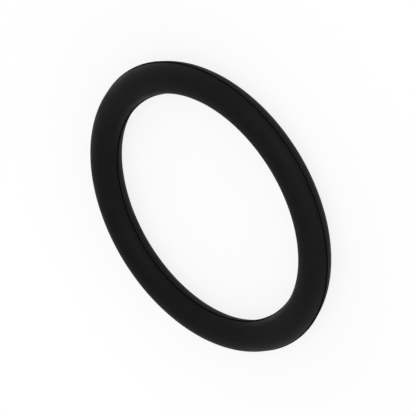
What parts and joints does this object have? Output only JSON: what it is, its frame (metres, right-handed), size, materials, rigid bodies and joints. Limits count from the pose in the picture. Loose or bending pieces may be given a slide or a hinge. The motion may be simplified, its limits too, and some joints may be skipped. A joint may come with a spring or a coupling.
{
  "type": "o-ring",
  "caption": "Moulded rubber sealing ring of round section, with a fine trimmed parting ridge round its outside and its inside.",
  "frame": {"origin": "centre of the ring, in the middle plane where the two mould halves met", "axes": "+Z along the ring's axis, so that the ring lies flat; both faces are alike"},
  "size_m": [0.0342, 0.0342, 0.0034],
  "materials": {
    "rubber": "matte moulded"
  },
  "bodies": {
    "root": {"o_ring": "rubber"}
  },
  "joints": []
}
